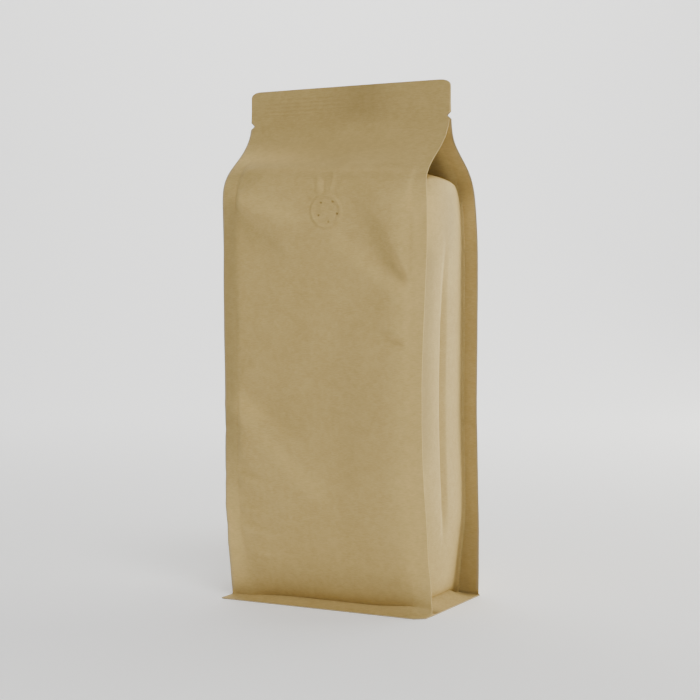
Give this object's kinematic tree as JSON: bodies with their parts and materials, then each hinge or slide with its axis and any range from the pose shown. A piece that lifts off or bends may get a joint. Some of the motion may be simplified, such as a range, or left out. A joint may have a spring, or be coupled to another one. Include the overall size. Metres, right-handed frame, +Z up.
{
  "type": "flat-bottom coffee bag",
  "caption": "Upright closed flat-bottom coffee bag in plain kraft paper, with side seam fins, tucked side gussets, a flared foot and a flat sealed header.",
  "frame": {"origin": "centre of the bounding box, on the floor under the flat base", "axes": "+Z up along the bag's height, front panel facing -Y, width along X"},
  "size_m": [0.1316, 0.085, 0.297],
  "materials": {
    "kraft_paper": "matt"
  },
  "bodies": {
    "root": {"bag": "kraft_paper"}
  },
  "joints": []
}
